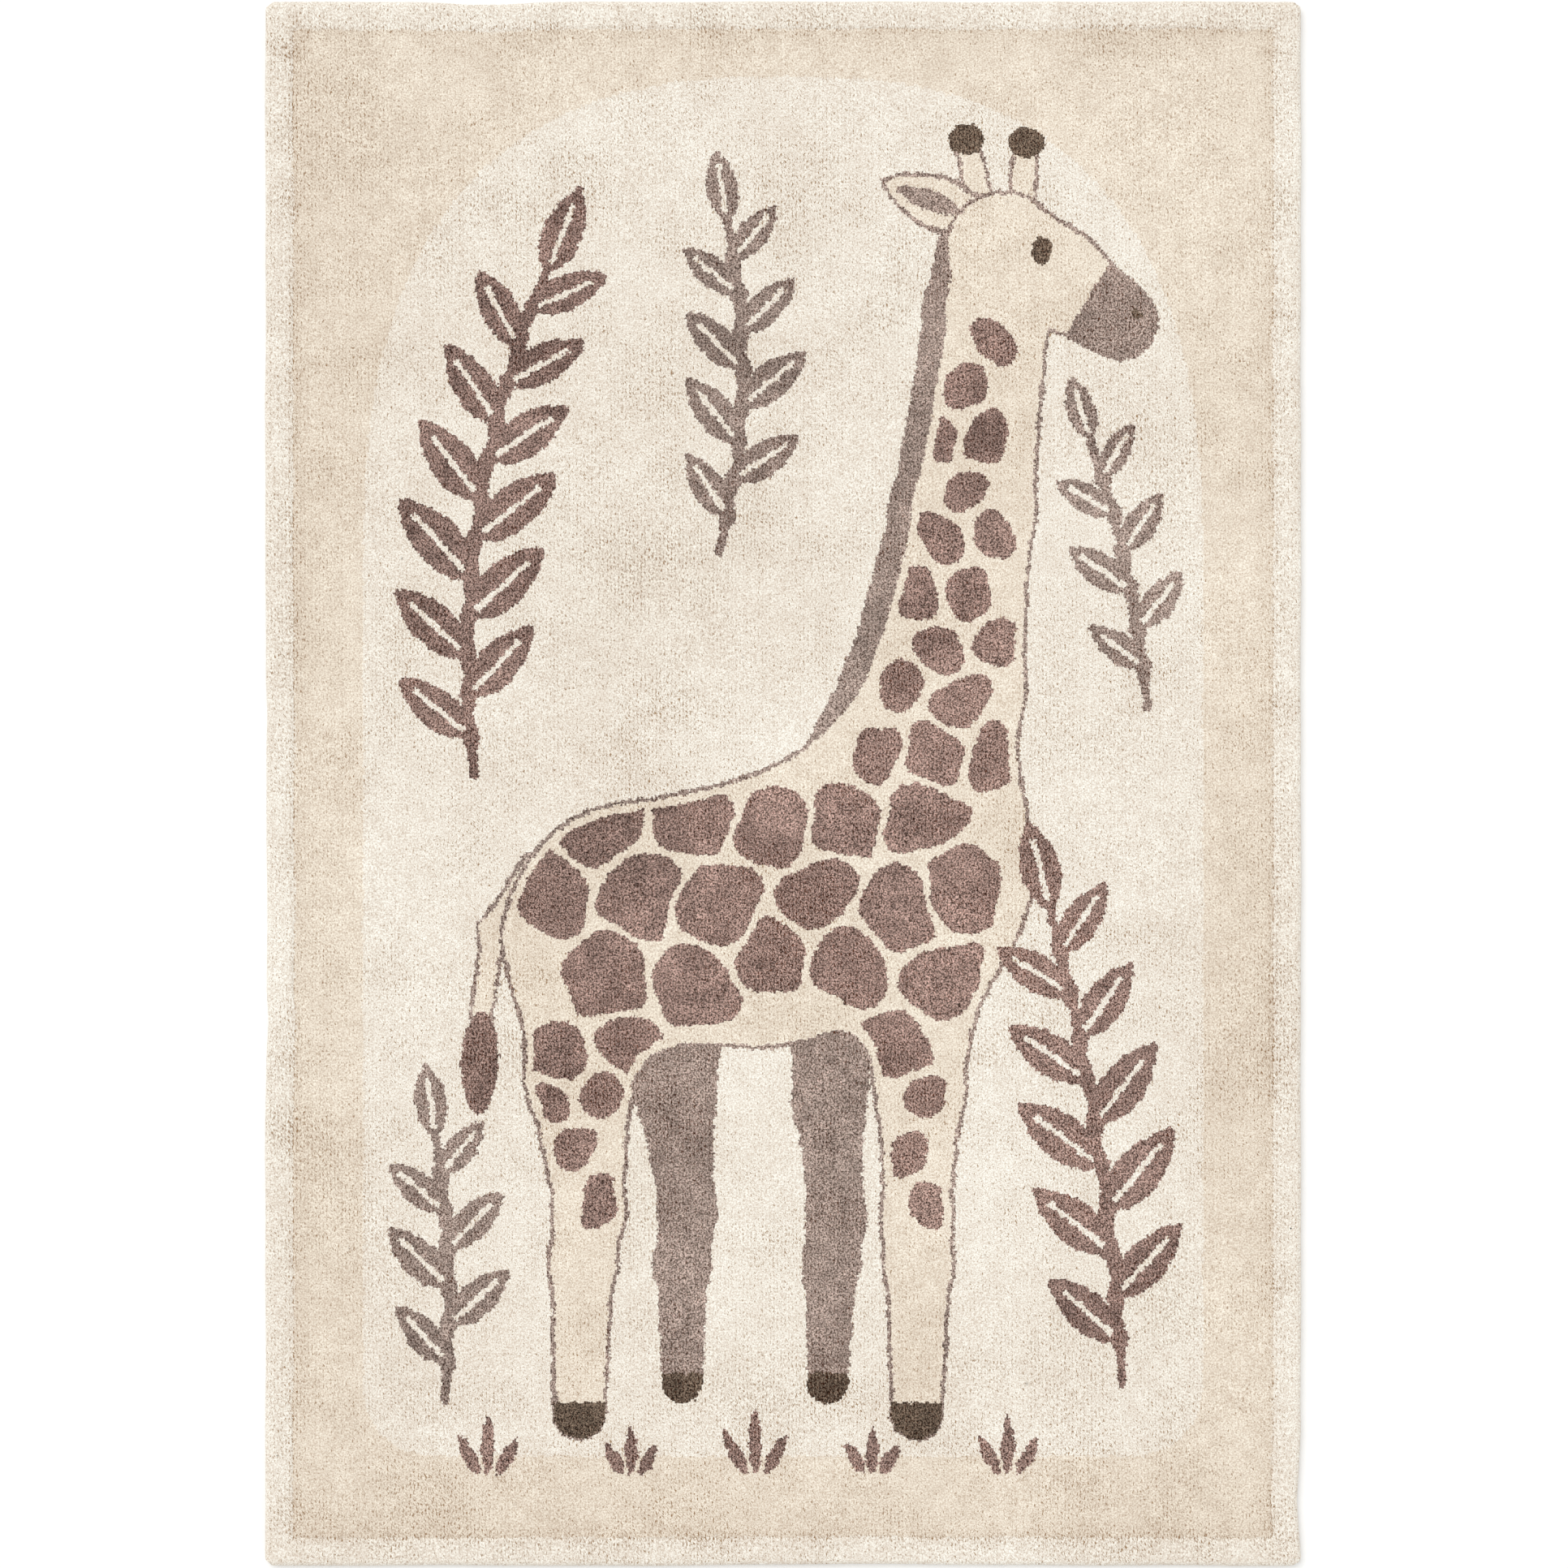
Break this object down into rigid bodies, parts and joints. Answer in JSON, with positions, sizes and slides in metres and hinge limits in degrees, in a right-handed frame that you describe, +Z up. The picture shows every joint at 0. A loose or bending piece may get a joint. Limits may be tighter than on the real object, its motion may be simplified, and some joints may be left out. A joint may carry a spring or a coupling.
{
  "type": "rectangular kids rug with a pictured animal",
  "caption": "Flat rectangular cut-pile rug for a child's room: a dense tufted pile with a plain pale border, a sheared groove inside it and an animal worked in the field.",
  "frame": {"origin": "on the floor, under the middle of the rug", "axes": "+X across the rug to the picture's right, +Y along the rug's length to the picture's top, +Z up out of the pile"},
  "size_m": [1.2118, 1.8288, 0.0147],
  "materials": {
    "pile_beige": "dense cut wool pile, matt",
    "pile_ivory": "dense cut wool pile, matt",
    "pile_brown": "dense cut wool pile, matt",
    "pile_taupe": "dense cut wool pile, matt",
    "pile_dark": "dense cut wool pile, matt",
    "backing_cotton": "plain-woven unbleached cotton, matt"
  },
  "bodies": {
    "root": {"rug": "pile_beige"}
  },
  "joints": []
}
